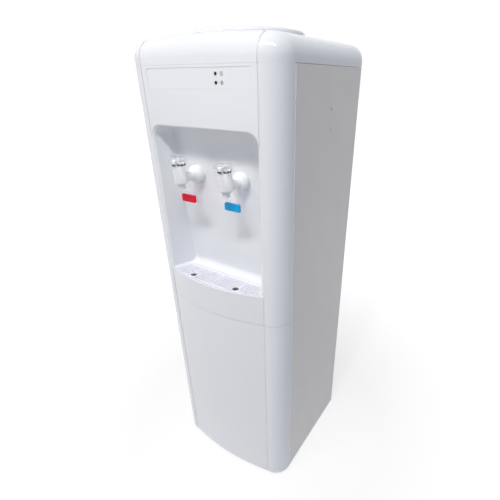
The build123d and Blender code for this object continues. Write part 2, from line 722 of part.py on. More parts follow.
for kind, x in (("hot", hot_x), ("cold", tap_x)):
    with BuildPart() as tap_body:
        turn(
            x, y_tap,
            (0, z_spout), (spout_radius, z_spout), (spout_radius, z_barrel_foot),
            (barrel_radius, z_valve), (barrel_radius, z_barrel_top), (0, z_barrel_top),
        )
        rod((x, y_tap, z_tap), (0, 1, 0), neck_radius, tail_length)
        rod((x, y_tail, z_tap), (0, 1, 0), barb_radius, barb_length)
        turn(
            x, y_tap,
            (0, z_spout), (spout_bore, z_spout), (spout_bore, z_valve), (chamber_radius, z_valve),
            (chamber_radius, z_barrel_top), (0, z_barrel_top),
            mode=Mode.SUBTRACT,
        )
        drill((x, y_tap, z_tap), (0, 1, 0), barb_radius - sheet, tail_length + barb_length)
    keep(tap_body, f"{kind}_tap_body")

    with BuildPart() as tap_flange:
        with BuildSketch(Plane.YZ.offset(x)):
            with BuildLine():
                Polyline((y_nose, z_nose), (y_nose, z_collar_in), (y_niche, z_collar_in), (y_niche, z_ring),
                         (y_dome, z_ring), (y_dome, z_dome))
                ThreePointArc((y_dome, z_dome), (y_bulge, z_bulge), (y_nose, z_nose))
            make_face()
        revolve(axis=Axis((x, 0, z_tap), (0, 1, 0)))
    keep(tap_flange, f"{kind}_tap_flange")

    with BuildPart() as tap_bonnet:
        turn(
            x, y_tap,
            (stem_radius + running_gap, z_plug), (chamber_radius - running_gap, z_plug),
            (chamber_radius - running_gap, z_barrel_top), (bonnet_radius, z_barrel_top),
            (bonnet_radius, z_bonnet), (stem_radius + running_gap, z_bonnet),
        )
        with BuildSketch(Plane.YZ.offset(x)):
            with Locations((y_pivot, z_pivot)):
                Circle(2 * pin_radius)
            with Locations((y_pivot, (z_pivot + z_bonnet) / 2)):
                Rectangle(4 * pin_radius, z_pivot - z_bonnet)
            with Locations((y_pivot, z_bonnet)):
                Rectangle(4 * pin_radius, bonnet_height, align=(Align.CENTER, Align.MAX))
        extrude(amount=lug_width / 2, both=True)
        drill((x - lug_width, y_pivot, z_pivot), (1, 0, 0), pin_radius + running_gap / 2, 2 * lug_width)
    keep(tap_bonnet, f"{kind}_tap_bonnet")

    with BuildPart() as tap_stem:
        rod((x, y_tap, z_valve + plunger_height), (0, 0, 1), stem_radius, z_head - z_valve - plunger_height)
        rod((x, y_tap, z_head), (0, 0, 1), stem_head_radius, stem_head_height)
    keep(tap_stem, f"{kind}_tap_stem")

    with BuildPart() as tap_plunger:
        rod((x, y_tap, z_valve), (0, 0, 1), chamber_radius - running_gap, plunger_height)
        chamfer(tap_plunger.edges().group_by(Axis.Z)[0], sheet)
    keep(tap_plunger, f"{kind}_tap_plunger")

    with BuildPart() as tap_spring:
        turn(
            x, y_tap,
            (stem_radius + fit_gap, z_valve + plunger_height), (spring_radius, z_valve + plunger_height),
            (spring_radius, z_plug), (stem_radius + fit_gap, z_plug),
        )
    keep(tap_spring, f"{kind}_tap_spring")

    with BuildPart() as tap_lever:
        with BuildSketch(Plane.XY.offset(z_hood)):
            with Locations((x, y_tap)):
                Circle(hood_radius)
                with PolarLocations(hood_radius + flute_offset, flute_count):
                    Circle(flute_radius, mode=Mode.SUBTRACT)
        extrude(amount=hood_height)
        fillet(tap_lever.faces().sort_by(Axis.Z)[-1].edges(), flute_depth / 2)
        drill((x, y_tap, z_hood), (0, 0, 1), hood_radius - hood_wall, hood_height - hood_wall)
        with Locations((x, y_pivot - cheek_margin, z_hood)):
            Box(lug_width + 2 * hood_gap, 2 * cheek_margin, 2 * (z_slot - z_hood), mode=Mode.SUBTRACT)
        with BuildSketch(Plane.XY.offset(z_fork - fork_thickness)):
            with Locations((x, y_tap)):
                Circle(hood_radius - hood_wall / 2)
                with Locations((0, -stem_head_radius)):
                    Rectangle(
                        2 * hood_radius, hood_radius, align=(Align.CENTER, Align.MAX), mode=Mode.SUBTRACT
                    )
                SlotCenterPoint(
                    (0, -hood_radius), (0, fork_room), 2 * (stem_radius + fit_gap), mode=Mode.SUBTRACT
                )
        extrude(amount=fork_thickness)
        for hand in (-1, 1):
            with BuildSketch(Plane.YZ.offset(x + hand * cheek_in)) as cheek:
                with BuildLine():
                    Polyline((y_tap + cheek_back, z_hood), (y_tap + cheek_back, z_cheek),
                             (y_cheek, z_cheek), (y_cheek, z_hood))
                    Spline(
                        (y_cheek, z_hood), (y_tap - spout_radius, z_tap),
                        (y_paddle - paddle_thickness, z_foot + paddle_height),
                        tangents=((0, -1), (paddle_lean, -1)),
                    )
                    Line((y_paddle - paddle_thickness, z_foot + paddle_height),
                         (y_paddle, z_foot + paddle_height))
                    Spline(
                        (y_paddle, z_foot + paddle_height),
                        (y_tap + barrel_radius / 2, z_tap + neck_radius / 2),
                        (y_tap + cheek_back, z_hood),
                        tangents=((-paddle_lean, 1), (0, 1)),
                    )
                make_face()
                fillet(cheek.vertices().group_by(Axis.Y)[-1], cheek_margin - hood_gap)
            extrude(amount=hand * hood_wall)
        with BuildSketch(Plane.XZ.offset(-y_paddle)):
            with Locations((x, z_foot)):
                Rectangle(tab_width + 2 * paddle_margin, paddle_height + tab_corner,
                          align=(Align.CENTER, Align.MIN))
        extrude(amount=paddle_thickness)
        drill((x - 2 * cheek_out, y_pivot, z_pivot), (1, 0, 0), pin_radius + running_gap / 2, 4 * cheek_out)
    keep(tap_lever, f"{kind}_tap_lever")

    with BuildPart() as tap_pin:
        rod((x - cheek_out, y_pivot, z_pivot), (1, 0, 0), pin_radius, 2 * cheek_out)
    keep(tap_pin, f"{kind}_tap_pin")

    with BuildPart() as tap_tab:
        with BuildSketch(Plane.XZ.offset(-y_paddle + paddle_thickness)):
            with Locations((x, z_foot + tab_rise + tab_height / 2)):
                RectangleRounded(tab_width, tab_height, tab_corner)
        extrude(amount=tab_thickness)
        fillet(tap_tab.faces().sort_by(Axis.Y)[0].edges(), tab_round)
    keep(tap_tab, f"{kind}_tap_tab")

# Nuts that clamp the two taps to the niche wall
with BuildPart() as tap_nuts:
    with BuildSketch(Plane.XZ.offset(-y_niche - wall)):
        with Locations((hot_x, z_tap), (tap_x, z_tap)):
            RegularPolygon(nut_across / 2, 6, major_radius=False)
            Circle(neck_radius + running_gap, mode=Mode.SUBTRACT)
    extrude(amount=-nut_thickness)
keep(tap_nuts, "tap_nuts")

# Shelves across the steel sides, for the cold tank and for the hot tank
z_shelf_under = z_shelf - sheet
z_hot_under = z_hot_shelf - sheet
cold_outlet = (tap_x, cold_outlet_y)
feed = (feed_x, hot_tank_y)
suction = (suction_x, suction_y)
thin_pipe = (dryer_x, seat_y)
drain = (hot_x, hot_tank_y)
shelf_rear = y_panel - fit_gap
shelf_seat = max(y_joint + sheet, y_niche + wall) + fit_gap
shelf_holes = {
    "tank_shelf": (z_shelf, (cold_outlet, feed, suction, thin_pipe)),
    "hot_shelf": (z_hot_shelf, (drain, suction)),
}
for name, (top, holes) in shelf_holes.items():
    shelf_front = max(shelf_seat, niche_back(top - sheet, wall + fit_gap))
    shelf_middle = (shelf_front + shelf_rear) / 2
    with BuildPart() as shelf:
        with BuildSketch(Plane.XY.offset(top - sheet)):
            with Locations((0, shelf_middle)):
                Rectangle(pan_width, shelf_rear - shelf_front)
            with Locations(*holes):
                Circle(hose_radius + fit_gap, mode=Mode.SUBTRACT)
        extrude(amount=sheet)
        with BuildSketch(Plane.XY.offset(top - sheet)):
            with Locations((0, shelf_middle)):
                with GridLocations(pan_width - sheet, 0, 2, 1):
                    Rectangle(sheet, shelf_rear - shelf_front)
        extrude(amount=-shelf_edge)
    keep(shelf, name)

# Cold tank with its outlets, the evaporator sleeve round it and the foam cup that holds both
with BuildPart() as cold_tank:
    turn(
        0, seat_y,
        (neck_opening, z_tank_top), (cold_tank_radius, z_tank_top), (cold_tank_radius, z_tank), (0, z_tank),
        (0, z_tank + tank_wall), (cold_tank_radius - tank_wall, z_tank + tank_wall),
        (cold_tank_radius - tank_wall, z_tank_top - tank_wall), (neck_opening, z_tank_top - tank_wall),
    )
    for outlet in (cold_outlet, feed):
        rod((*outlet, z_shelf_under), (0, 0, 1), hose_radius, foam_floor + sheet)
        drill((*outlet, z_shelf_under), (0, 0, 1), barb_radius, foam_floor + sheet + tank_wall)
keep(cold_tank, "cold_tank")

with BuildPart() as evaporator:
    turn(
        0, seat_y,
        (sleeve_inner, z_tank), (sleeve_outer, z_tank),
        (sleeve_outer, z_tank + sleeve_height), (sleeve_inner, z_tank + sleeve_height),
    )
keep(evaporator, "evaporator")

foam_inner = sleeve_outer + fit_gap
with BuildPart() as tank_foam:
    turn(
        0, seat_y,
        (0, z_shelf), (foam_radius, z_shelf), (foam_radius, z_tank_top), (foam_inner, z_tank_top),
        (foam_inner, z_tank), (0, z_tank),
    )
    for outlet in (cold_outlet, feed, suction):
        drill((*outlet, z_shelf), (0, 0, 1), hose_radius + fit_gap, foam_floor)
    drill((0, seat_y, z_tank + sleeve_height / 2), (1, 0, 0), 2 * thin_radius, 2 * foam_radius)
keep(tank_foam, "tank_foam")

# Hot tank with its three stubs, the heater band round it and the jacket that holds both
z_hot_top = z_hot + hot_tank_height
z_hot_stub = z_hot_top + stub_height
z_feed = z_hot + feed_height
jacket_side = hot_x + jacket_radius + through
stub_wall = barb_radius
with BuildPart() as hot_tank:
    turn(
        hot_x, hot_tank_y,
        (stub_wall, z_hot_stub), (hose_radius, z_hot_stub), (hose_radius, z_hot_top),
        (hot_tank_radius, z_hot_top), (hot_tank_radius, z_hot),
        (pipe_radius, z_hot), (pipe_radius, z_hot_under),
        (pipe_radius - pipe_wall, z_hot_under), (pipe_radius - pipe_wall, z_hot + tank_wall),
        (hot_tank_radius - tank_wall, z_hot + tank_wall),
        (hot_tank_radius - tank_wall, z_hot_top - tank_wall), (stub_wall, z_hot_top - tank_wall),
    )
    wall_x = hot_x + hot_tank_radius - tank_wall
    rod((wall_x, hot_tank_y, z_feed), (1, 0, 0), pipe_radius, jacket_side - wall_x)
    rod((wall_x - tank_wall, hot_tank_y, z_feed), (1, 0, 0), pipe_radius - pipe_wall,
        jacket_side - wall_x + 2 * tank_wall, mode=Mode.SUBTRACT)
keep(hot_tank, "hot_tank")

heater_inner = hot_tank_radius + fit_gap
heater_foot = z_feed + 2 * pipe_radius
with BuildPart() as heater_band:
    turn(
        hot_x, hot_tank_y,
        (heater_inner, heater_foot), (heater_inner + heater_thickness, heater_foot),
        (heater_inner + heater_thickness, heater_foot + heater_height),
        (heater_inner, heater_foot + heater_height),
    )
keep(heater_band, "heater_band")

jacket_inner = heater_inner + heater_thickness + fit_gap
with BuildPart() as hot_jacket:
    turn(
        hot_x, hot_tank_y,
        (pipe_radius + fit_gap, z_hot_shelf), (jacket_radius, z_hot_shelf),
        (jacket_radius, z_hot_shelf + jacket_height), (jacket_inner, z_hot_shelf + jacket_height),
        (jacket_inner, z_hot), (pipe_radius + fit_gap, z_hot),
    )
    drill((hot_x, hot_tank_y, z_feed), (1, 0, 0), pipe_radius + fit_gap, 2 * jacket_radius)
keep(hot_jacket, "hot_jacket")

# Hoses from the tanks to the taps, the feed from the cold tank to the hot one and the drain
hose_bore = barb_radius + running_gap
with BuildPart() as cold_hose:
    tube(
        ((tap_x, y_tail, z_tap), (tap_x, cold_outlet_y, z_tap), (tap_x, cold_outlet_y, z_shelf_under)),
        z_shelf_under - z_tap - sheet, hose_radius, hose_bore,
    )
keep(cold_hose, "cold_hose")

with BuildPart() as hot_hose:
    tube(
        ((hot_x, y_tail, z_tap), (hot_x, hot_tank_y, z_tap), (hot_x, hot_tank_y, z_hot_stub)),
        bend_radius, hose_radius, hose_bore,
    )
keep(hot_hose, "hot_hose")

with BuildPart() as feed_pipe:
    tube(
        (
            (feed_x, hot_tank_y, z_shelf_under),
            (feed_x, hot_tank_y, z_feed),
            (jacket_side, hot_tank_y, z_feed),
        ),
        bend_radius, pipe_radius, pipe_radius - pipe_wall,
    )
keep(feed_pipe, "feed_pipe")

with BuildPart() as drain_pipe:
    tube(
        (
            (hot_x, hot_tank_y, z_hot_under),
            (hot_x, hot_tank_y, drain_height),
            (hot_x, y_panel, drain_height),
        ),
        bend_radius, pipe_radius, pipe_radius - pipe_wall,
    )
    with BuildSketch(Plane.XZ.offset(-y_panel)):
        with Locations((hot_x, drain_height)):
            Circle(drain_radius)
            Circle(pipe_radius - pipe_wall, mode=Mode.SUBTRACT)
    extrude(amount=-sheet - drain_reach)
keep(drain_pipe, "drain_pipe")

y_drain = y_panel + sheet
with BuildPart() as drain_cap:
    with BuildSketch(Plane.XZ.offset(-y_drain - sheet_gap)):
        with Locations((hot_x, drain_height)):
            Circle(cap_radius)
    extrude(amount=-cap_length)
    with BuildSketch(Plane.XZ.offset(-y_drain - sheet_gap)):
        with Locations((hot_x, drain_height)):
            Circle(drain_radius + running_gap)
    extrude(amount=-drain_reach, mode=Mode.SUBTRACT)
    fillet(drain_cap.faces().sort_by(Axis.Y)[-1].edges(), sheet)
keep(drain_cap, "drain_cap")

# Compressor on rubber grommets in the open bay
z_leg = z_pan + grommet_height
z_pot = z_leg + leg_thickness
z_pot_top = z_pot + compressor_height
z_weld = z_pot + weld_height
z_discharge = z_weld + compressor_seam + stub_height
with BuildPart() as compressor:
    turn(
        0, compressor_y,
        (0, z_pot), (compressor_radius, z_pot), (compressor_radius, z_pot_top), (0, z_pot_top),
    )
    fillet(compressor.edges().filter_by(GeomType.CIRCLE), compressor_round)
    turn(
        0, compressor_y,
        (0, z_weld), (compressor_radius + compressor_seam, z_weld),
        (compressor_radius + compressor_seam, z_weld + compressor_seam), (0, z_weld + compressor_seam),
    )
    with BuildSketch(Plane.XY.offset(z_leg)):
        with Locations((0, compressor_y)):
            with GridLocations(2 * leg_x, 2 * leg_y, 2, 2):
                Circle(leg_radius)
        make_hull()
        with Locations((0, compressor_y)):
            with GridLocations(2 * leg_x, 2 * leg_y, 2, 2):
                Circle(grommet_neck + fit_gap, mode=Mode.SUBTRACT)
    extrude(amount=leg_thickness)
    z_suction = z_pot_top + stub_height
    rod((*suction, z_weld), (0, 0, 1), suction_radius, z_suction - z_weld)
    rod((discharge_x, compressor_y, z_discharge), (0, 1, 0), suction_radius, compressor_radius)
keep(compressor, "compressor")

with BuildPart() as compressor_grommets:
    with BuildSketch(Plane.XY.offset(z_pan)):
        with Locations((0, compressor_y)):
            with GridLocations(2 * leg_x, 2 * leg_y, 2, 2):
                Circle(grommet_radius)
    extrude(amount=grommet_height)
    with BuildSketch(Plane.XY.offset(z_leg)):
        with Locations((0, compressor_y)):
            with GridLocations(2 * leg_x, 2 * leg_y, 2, 2):
                Circle(grommet_neck)
    extrude(amount=leg_thickness + grommet_lip)
keep(compressor_grommets, "compressor_grommets")

with BuildPart() as suction_line:
    rod((*suction, z_suction), (0, 0, 1), suction_radius, z_tank - z_suction)
keep(suction_line, "suction_line")

# Condenser: one serpentine tube from the compressor up to the dryer
y_condenser = y_panel + rear_inset / 2
y_discharge = compressor_y + compressor_radius
first_x = -condenser_half_width
serpentine = [
    (discharge_x, y_discharge, z_discharge),
    (discharge_x, y_condenser, z_discharge),
    (first_x, y_condenser, z_discharge),
]
serpentine_bends = [bend_radius, bend_radius]
run_zs = [condenser_foot + index * condenser_pitch for index in range(condenser_runs)]
for index, run_z in enumerate(run_zs):
    start_x = first_x if index % 2 == 0 else -first_x
    serpentine += [(start_x, y_condenser, run_z), (-start_x, y_condenser, run_z)]
    serpentine_bends += [turn_radius, turn_radius]
z_dryer_top = run_zs[-1] - 2 * bend_radius
serpentine[-1] = (dryer_x, y_condenser, run_zs[-1])
serpentine_bends[-1] = bend_radius
serpentine.append((dryer_x, y_condenser, z_dryer_top))
with BuildPart() as condenser_tube:
    tube(serpentine, serpentine_bends, condenser_tube_radius, condenser_tube_radius - pipe_wall)
keep(condenser_tube, "condenser_tube")

# Wires up both faces of the condenser
wire_low = run_zs[0] - wire_spare
wire_offset = condenser_tube_radius + running_gap + wire_size / 2
with BuildPart() as condenser_wires:
    with BuildSketch(Plane.XY.offset(wire_low)):
        with Locations((0, y_condenser)):
            with GridLocations(wire_pitch, 2 * wire_offset, wire_count, 2):
                Rectangle(wire_size, wire_size)
    extrude(amount=run_zs[-1] + wire_spare - wire_low)
keep(condenser_wires, "condenser_wires")

# Dryer below the condenser's upper end, with the thin pipe that leads on to the evaporator
z_dryer = z_dryer_top - dryer_length
z_thin = z_dryer - 2 * bend_radius
z_entry = z_tank + sleeve_height / 2
with BuildPart() as dryer:
    turn(
        dryer_x, y_condenser,
        (0, z_dryer), (2 * thin_radius, z_dryer), (dryer_radius, z_dryer + dryer_taper),
        (dryer_radius, z_dryer_top - dryer_taper), (condenser_tube_radius, z_dryer_top), (0, z_dryer_top),
    )
    tube(
        (
            (dryer_x, y_condenser, z_dryer), (dryer_x, y_condenser, z_thin), (dryer_x, seat_y, z_thin),
            (dryer_x, seat_y, z_entry), (sleeve_outer, seat_y, z_entry),
        ),
        bend_radius, thin_radius, thin_radius / 2,
    )
keep(dryer, "dryer")

# Rear sheet: folded edges, condenser brackets, vents and holes for the drain, gland and switches
z_switch = z_cover - switch_drop
switch_xs = (-switch_pitch / 2, switch_pitch / 2)
z_bay = z_bottom + bay_height
bracket_reach = rear_inset / 2 + 2 * condenser_tube_radius - sheet
bracket_runs = (run_zs[1], run_zs[-2])
bracket_xs = (-bracket_wires * wire_pitch, bracket_wires * wire_pitch)
with BuildPart() as rear_panel:
    with BuildSketch(Plane.XY.offset(z_bay)):
        with Locations((0, y_panel)):
            Rectangle(pan_width, sheet, align=(Align.CENTER, Align.MIN))
            with GridLocations(pan_width - sheet, 0, 2, 1):
                Rectangle(sheet, fold, align=(Align.CENTER, Align.MIN))
    extrude(amount=upper_top - z_bay)
    with BuildSketch(Plane.XZ.offset(-y_panel - sheet)):
        with Locations([(x, run_z) for x in bracket_xs for run_z in bracket_runs]):
            Rectangle(bracket_width, bracket_height)
    extrude(amount=-bracket_reach)
    for run_z in bracket_runs:
        rod((-condenser_half_width, y_condenser, run_z), (1, 0, 0), condenser_tube_radius + running_gap,
            2 * condenser_half_width, mode=Mode.SUBTRACT)
    with BuildSketch(Plane.XZ.offset(-y_panel)):
        with Locations((0, z_switch - vent_drop)):
            with GridLocations(vent_length + vent_gap, vent_gap, 3, 3):
                SlotOverall(vent_length, vent_height)
        with Locations((hot_x, drain_height)):
            Circle(drain_radius + fit_gap)
        with Locations((gland_x, gland_height)):
            Circle(gland_radius + fit_gap)
        with Locations((dryer_x, z_thin)):
            Circle(2 * thin_radius)
        with Locations([(x, z_switch) for x in switch_xs]):
            Rectangle(switch_width + 2 * sheet_gap, switch_height + 2 * sheet_gap)
    extrude(amount=-sheet, mode=Mode.SUBTRACT)
keep(rear_panel, "rear_panel")

# Rocker switches: a frame snapped into the rear sheet and a rocker that turns in it
y_outer = y_panel + sheet
y_rocker = y_panel - rocker_sink
with BuildPart() as switch_frames:
    with BuildSketch(Plane.XZ.offset(-y_outer)):
        with Locations([(x, z_switch) for x in switch_xs]):
            Rectangle(switch_width, switch_height)
    extrude(amount=sheet + switch_depth)
    with BuildSketch(Plane.XZ.offset(-y_outer)):
        with Locations([(x, z_switch) for x in switch_xs]):
            RectangleRounded(switch_width + 2 * bezel, switch_height + 2 * bezel, bezel)
    extrude(amount=-bezel)
    with BuildSketch(Plane.XZ.offset(-y_outer - bezel)):
        with Locations([(x, z_switch) for x in switch_xs]):
            Rectangle(rocker_width + 2 * fit_gap, 2 * (rocker_radius + fit_gap))
    extrude(amount=sheet + switch_depth, mode=Mode.SUBTRACT)
keep(switch_frames, "switch_frames")

rocker_face = rocker_sink + sheet + bezel
rocker_way = Vector(0, 1, 0).rotate(Axis.X, rocker_tilt)
for name, x in zip(("hot_switch", "cold_switch"), switch_xs):
    rocker_plane = Plane(origin=(x, y_rocker, z_switch), x_dir=rocker_way, z_dir=(1, 0, 0))
    with BuildPart() as rocker:
        with BuildSketch(rocker_plane):
            Circle(rocker_radius)
            with Locations((rocker_face + 1.5 * bezel, 0)):
                Rectangle(
                    rocker_radius, 4 * rocker_radius, align=(Align.MIN, Align.CENTER), mode=Mode.SUBTRACT
                )
            with Locations((-rocker_sink, 0)):
                Rectangle(
                    rocker_radius, 4 * rocker_radius, align=(Align.MAX, Align.CENTER), mode=Mode.SUBTRACT
                )
            with BuildLine():
                Polyline(
                    (rocker_face, 0), (2 * rocker_face, rocker_radius), (2 * rocker_face, -rocker_radius),
                    close=True,
                )
            make_face(mode=Mode.SUBTRACT)
        extrude(amount=rocker_width / 2, both=True)
    keep(rocker, name)

# Gland where the mains lead enters
with BuildPart() as cord_gland:
    with BuildSketch(Plane.XZ.offset(-y_panel + gland_flange)):
        with Locations((gland_x, gland_height)):
            Circle(gland_radius)
            Circle(gland_bore, mode=Mode.SUBTRACT)
    extrude(amount=-2 * gland_flange - sheet)
    with BuildSketch(Plane.XZ.offset(-y_outer)):
        with Locations((gland_x, gland_height)):
            Circle(gland_radius + gland_flange)
            Circle(gland_bore, mode=Mode.SUBTRACT)
    extrude(amount=-gland_flange)
keep(cord_gland, "cord_gland")
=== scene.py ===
import json
import math

import bmesh
import bpy
from mathutils import Matrix, Vector


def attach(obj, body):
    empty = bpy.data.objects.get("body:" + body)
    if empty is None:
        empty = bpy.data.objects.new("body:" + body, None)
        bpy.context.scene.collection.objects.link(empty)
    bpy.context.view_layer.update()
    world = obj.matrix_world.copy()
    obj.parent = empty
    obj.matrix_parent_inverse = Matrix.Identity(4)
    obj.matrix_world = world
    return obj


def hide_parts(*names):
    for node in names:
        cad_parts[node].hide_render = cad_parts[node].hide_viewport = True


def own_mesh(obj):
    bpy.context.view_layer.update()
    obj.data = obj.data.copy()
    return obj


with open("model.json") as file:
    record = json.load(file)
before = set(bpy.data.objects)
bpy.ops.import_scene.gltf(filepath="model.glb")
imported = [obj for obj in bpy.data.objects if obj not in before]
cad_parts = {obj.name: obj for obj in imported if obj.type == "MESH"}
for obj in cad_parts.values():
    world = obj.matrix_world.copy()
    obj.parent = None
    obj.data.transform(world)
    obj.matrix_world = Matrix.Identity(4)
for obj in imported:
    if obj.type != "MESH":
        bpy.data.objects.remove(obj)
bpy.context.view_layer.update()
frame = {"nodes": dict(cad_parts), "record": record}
nodes = frame["nodes"]
slot_of = {part["node"]: part["material_slot"] for part in frame["record"]["subparts"]}

# Camera, fitted to the photograph
CAMERA_PLACE = (0.4394, -0.5861, 0.8659)
CAMERA_YAW = math.radians(32.11)
CAMERA_PITCH = math.radians(27.83)
CAMERA_LENS = 25.78
CAMERA_SENSOR = 36.0
CAMERA_SHIFT = (-0.0615, 0.0392)

# Light levels
AMBIENT = 0.60
ZENITH = 0.35  # share of the ambient light straight overhead
KEY_POWER = 12.5
STRIP_POWER = 38.0
FILL_POWER = 5.5
AMBIENT_LEFT = (1.0, 0.99, 1.0)
AMBIENT_FRONT = (0.52, 0.45, 0.50)
AMBIENT_SLANT = (0.37, 0.52, 0.78)  # from the front and the right
FRONT_STOP, SLANT_STOP = 0.5, 0.72  # from 0 on the left to 1 on the right
AMBIENT_RIGHT = (0.52, 0.57, 0.64)
FLOOR_GLOW = 0.74
FLOOR_SHADE = 0.32
FLOOR_PLAIN = 0.8  # as the other surfaces get it back
FLOOR_HALF = 20.0
FLOOR_NEAR = 0.35  # metres from the middle where the floor starts to turn white
FLOOR_FAR = 1.1

KEY_COLOUR = (1.0, 0.995, 0.975)
KEY_PLACE = (0.25, -1.35, 2.75)
KEY_TARGET = (0.0, -0.1, 0.6)
KEY_SIZE, STRIP_SIZE, FILL_SIZE = (0.25, 0.25), (2.6, 0.25), (1.6, 1.6)
FILL_COLOUR = (0.95, 0.975, 1.0)
FILL_PLACE = (-1.6, -2.2, 1.3)
FILL_TARGET = (0.0, 0.0, 0.5)

# Finish sizes in metres
EDGE_ROUND = 0.0009
SEAM_REACH = 0.004

# Mesh detail
SMOOTH_ANGLE = math.radians(38)
SCREW_ROWS, SCREW_SIDES = 18, 48
SCREW_DOME_POWER = 3.2
SCREW_SLOT_DEPTH = 0.55  # share of the head's height
COIL_STEPS = 22  # for each turn
TOOTH_STEPS = 4
TOOTH_ROOT = 0.35  # share of the ring's height between its teeth


class Finish:
    """A procedural material: one shader and the nodes that vary it."""

    def __init__(self, slot, **sockets):
        self.material = bpy.data.materials.new(slot)
        self.material.use_nodes = True
        self.tree = self.material.node_tree
        self.shader = self.tree.nodes["Principled BSDF"]
        for name, value in sockets.items():
            self.shader.inputs[name.replace("_", " ")].default_value = value
        self.place = self.add("ShaderNodeTexCoord").outputs["Object"]

    def add(self, kind, **settings):
        node = self.tree.nodes.new(kind)
        for name, value in settings.items():
            setattr(node, name, value)
        return node

    def join(self, source, target):
        self.tree.links.new(source, target)

    def stretched(self, scale):
        """Object coordinates scaled by axis, for brushed and drawn grain."""
        node = self.add("ShaderNodeMapping")
        node.inputs["Scale"].default_value = scale
        self.join(self.place, node.inputs["Vector"])
        return node.outputs["Vector"]

    def noise(self, scale, detail=2.0, place=None):
        node = self.add("ShaderNodeTexNoise")
        node.inputs["Scale"].default_value = scale
        node.inputs["Detail"].default_value = detail
        self.join(place or self.place, node.inputs["Vector"])
        return node.outputs["Fac"]

    def cells(self, scale, feature="F1", output="Distance"):
        node = self.add("ShaderNodeTexVoronoi", feature=feature)
        node.inputs["Scale"].default_value = scale
        self.join(self.place, node.inputs["Vector"])
        return node.outputs[output]

    def spread(self, value, low, high, to_low, to_high):
        """Map a value from one range to another, held inside it."""
        node = self.add("ShaderNodeMapRange")
        for name, number in (
            ("From Min", low), ("From Max", high), ("To Min", to_low), ("To Max", to_high),
        ):
            node.inputs[name].default_value = number
        self.join(value, node.inputs["Value"])
        return node.outputs["Result"]

    def math(self, operation, a, b):
        node = self.add("ShaderNodeMath", operation=operation)
        for socket, value in zip(node.inputs, (a, b)):
            if isinstance(value, (int, float)):
                socket.default_value = value
            else:
                self.join(value, socket)
        return node.outputs["Value"]

    def blend(self, factor, first, second, kind="MIX"):
        node = self.add("ShaderNodeMix", data_type="RGBA", blend_type=kind)
        self.join(factor, node.inputs["Factor"])
        for socket, value in zip((node.inputs[6], node.inputs[7]), (first, second)):
            if isinstance(value, tuple):
                socket.default_value = (*value, 1.0)
            else:
                self.join(value, socket)
        return node.outputs[2]

    def rounded(self, radius):
        """Normal with rounded edges, and a mask of those edges."""
        bevel = self.add("ShaderNodeBevel", samples=6)
        bevel.inputs["Radius"].default_value = radius
        flat = self.add("ShaderNodeNewGeometry")
        dot = self.add("ShaderNodeVectorMath", operation="DOT_PRODUCT")
        self.join(bevel.outputs["Normal"], dot.inputs[0])
        self.join(flat.outputs["Normal"], dot.inputs[1])
        return bevel.outputs["Normal"], self.spread(dot.outputs["Value"], 0.99, 0.75, 0.0, 1.0)

    def crevice(self, reach):
        """Occlusion mask for painted shade: 1 in the open and 0 deep in a seam."""
        node = self.add("ShaderNodeAmbientOcclusion", samples=8, only_local=False)
        node.inputs["Distance"].default_value = reach
        return node.outputs["AO"]

    def facing_up(self):
        """1 on a face that dust settles on."""
        node = self.add("ShaderNodeNewGeometry")
        split = self.add("ShaderNodeSeparateXYZ")
        self.join(node.outputs["Normal"], split.inputs[0])
        return self.spread(split.outputs["Z"], 0.3, 1.0, 0.0, 1.0)

    def colour(self, source):
        self.join(source, self.shader.inputs["Base Color"])

    def rough(self, source):
        self.join(source, self.shader.inputs["Roughness"])

    def bump(self, height, strength, distance, normal=None):
        node = self.add("ShaderNodeBump")
        node.inputs["Strength"].default_value = strength
        node.inputs["Distance"].default_value = distance
        self.join(height, node.inputs["Height"])
        if normal is not None:
            self.join(normal, node.inputs["Normal"])
        self.join(node.outputs["Normal"], self.shader.inputs["Normal"])


def shade(colour, amount):
    return tuple(channel * amount for channel in colour)


def moulded(slot, colour, roughness, grain=0.05, wave=0.10, crease_shade=0.55, **sockets):
    """Moulded plastic: faint flow clouds, painted shade in the seams, edges painted a little lighter as a
    painted highlight, and a slight orange peel.
    """
    finish = Finish(slot, **sockets)
    normal, edge = finish.rounded(EDGE_ROUND)
    cloud = finish.blend(finish.noise(7.0, 3.0), colour, shade(colour, 0.975))
    # painted highlight: edges a little lighter than the faces
    edge_highlit = finish.blend(finish.math("MULTIPLY", edge, 0.5), cloud, shade(colour, 1.05))
    # painted shade: the colour darkens towards a quarter of itself in seams and creases
    crease_unshaded = finish.spread(finish.crevice(SEAM_REACH), 0.25, 0.75, 1.0 - crease_shade, 1.0)
    finish.colour(finish.blend(finish.spread(crease_unshaded, 0.0, 1.0, 1.0, 0.0), edge_highlit, shade(colour, 0.25)))
    smear = finish.spread(finish.noise(38.0, 4.0), 0.3, 0.7, roughness - grain, roughness + grain)
    finish.rough(finish.math("ADD", smear, finish.math("MULTIPLY", edge, 0.12)))
    peel = finish.math("ADD", finish.noise(55.0, 1.0), finish.math("MULTIPLY", finish.noise(900.0), 0.08))
    finish.bump(peel, wave, 0.0006, normal)
    return finish.material


def powder_coat(slot, colour, roughness, peel_scale=620.0):
    """Painted steel: fine orange peel, faint rolled waves and painted shade along the seams."""
    finish = Finish(slot)
    normal, _ = finish.rounded(EDGE_ROUND)
    tone = finish.blend(finish.noise(5.0, 4.0), colour, shade(colour, 0.95))
    speck = finish.spread(finish.noise(2400.0, 1.0), 0.66, 0.74, 0.0, 0.35)
    specked = finish.blend(speck, tone, shade(colour, 0.72))
    # painted shade: darker in seams and creases, from an occlusion mask
    dust_and_shade = finish.spread(finish.crevice(SEAM_REACH), 0.25, 0.75, 0.5, 0.0)
    finish.colour(finish.blend(dust_and_shade, specked, shade(colour, 0.3)))
    finish.rough(finish.spread(finish.noise(30.0, 3.0), 0.3, 0.7, roughness - 0.05, roughness + 0.06))
    finish.bump(finish.noise(peel_scale, 2.0), 0.12, 0.0004, normal)
    return finish.material


